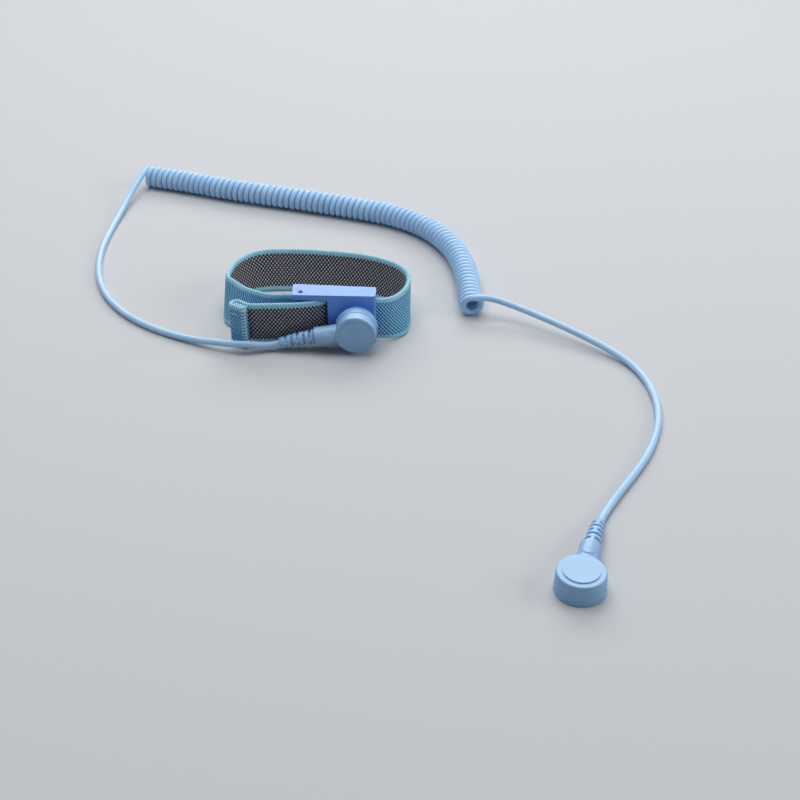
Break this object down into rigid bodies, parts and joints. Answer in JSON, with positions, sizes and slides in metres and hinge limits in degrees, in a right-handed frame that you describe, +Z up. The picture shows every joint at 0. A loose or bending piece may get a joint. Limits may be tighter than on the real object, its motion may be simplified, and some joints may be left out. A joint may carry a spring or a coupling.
{
  "type": "esd wrist strap",
  "caption": "Grounding wrist strap: woven elastic band with a cam clasp, snap plug, coiled lead and a second snap head at the earth end.",
  "frame": {"origin": "bottom centre of the box round the strap, clasp and wrist plug, on the surface they stand on", "axes": "+X along the clasp to its stud end, +Y from the clasp into the wrist opening, +Z up along the band's width"},
  "size_m": [0.2408, 0.304, 0.0218],
  "materials": {
    "band_weave": "woven polyester elastic, sky blue over navy, light selvedges, black and silver inside",
    "stitch_thread": "light blue sewing thread",
    "clasp_plastic": "smooth moulded light blue plastic",
    "head_moulding": "satin moulded light blue vinyl",
    "cord_jacket": "satin light blue polyurethane jacket",
    "plate_steel": "brushed stainless steel",
    "snap_nickel": "bright nickel plate",
    "spring_wire": "drawn spring wire",
    "crimp_brass": "tinned brass and copper wire",
    "resistor_coat": "lacquered resistor coat"
  },
  "bodies": {
    "wristband": {"clasp_frame": "clasp_plastic", "contact_plate": "plate_steel", "snap_stud": "snap_nickel", "stud_rivet": "snap_nickel", "stud_washer": "plate_steel", "lever_pin": "plate_steel", "elastic_band": "band_weave", "band_tail": "band_weave", "hem_stitches": "stitch_thread"},
    "cam_lever": {"cam_lever": "clasp_plastic"},
    "cord_set": {"lead_wrist": "cord_jacket", "coil": "cord_jacket", "lead_earth": "cord_jacket", "earth_cover": "head_moulding", "earth_base": "head_moulding", "earth_socket": "snap_nickel", "earth_ring_spring": "spring_wire", "earth_crimp": "crimp_brass", "earth_strain_relief": "head_moulding"},
    "wrist_plug": {"plug_cover": "head_moulding", "plug_base": "head_moulding", "plug_socket": "snap_nickel", "plug_ring_spring": "spring_wire", "plug_resistor": "resistor_coat", "plug_crimp": "crimp_brass", "plug_strain_relief": "head_moulding"}
  },
  "joints": [
    {"name": "cam_lever_open", "type": "hinge", "parent": "wristband", "child": "cam_lever", "pos_m": [-0.0052, -0.014, 0.0109], "axis": [0, 0, -1], "range_deg": [0, 25], "deforming": ["band_tail"]},
    {"name": "plug_unsnap", "type": "slide", "parent": "wristband", "child": "cord_set", "axis": [0, -1, 0], "range_m": [0, 0.01], "deforming": ["plug_ring_spring"]},
    {"name": "plug_swivel", "type": "hinge", "parent": "cord_set", "child": "wrist_plug", "pos_m": [0.0175, -0.0233, 0.0097], "axis": [0, 1, 0], "range_deg": [-3, 90]}
  ]
}
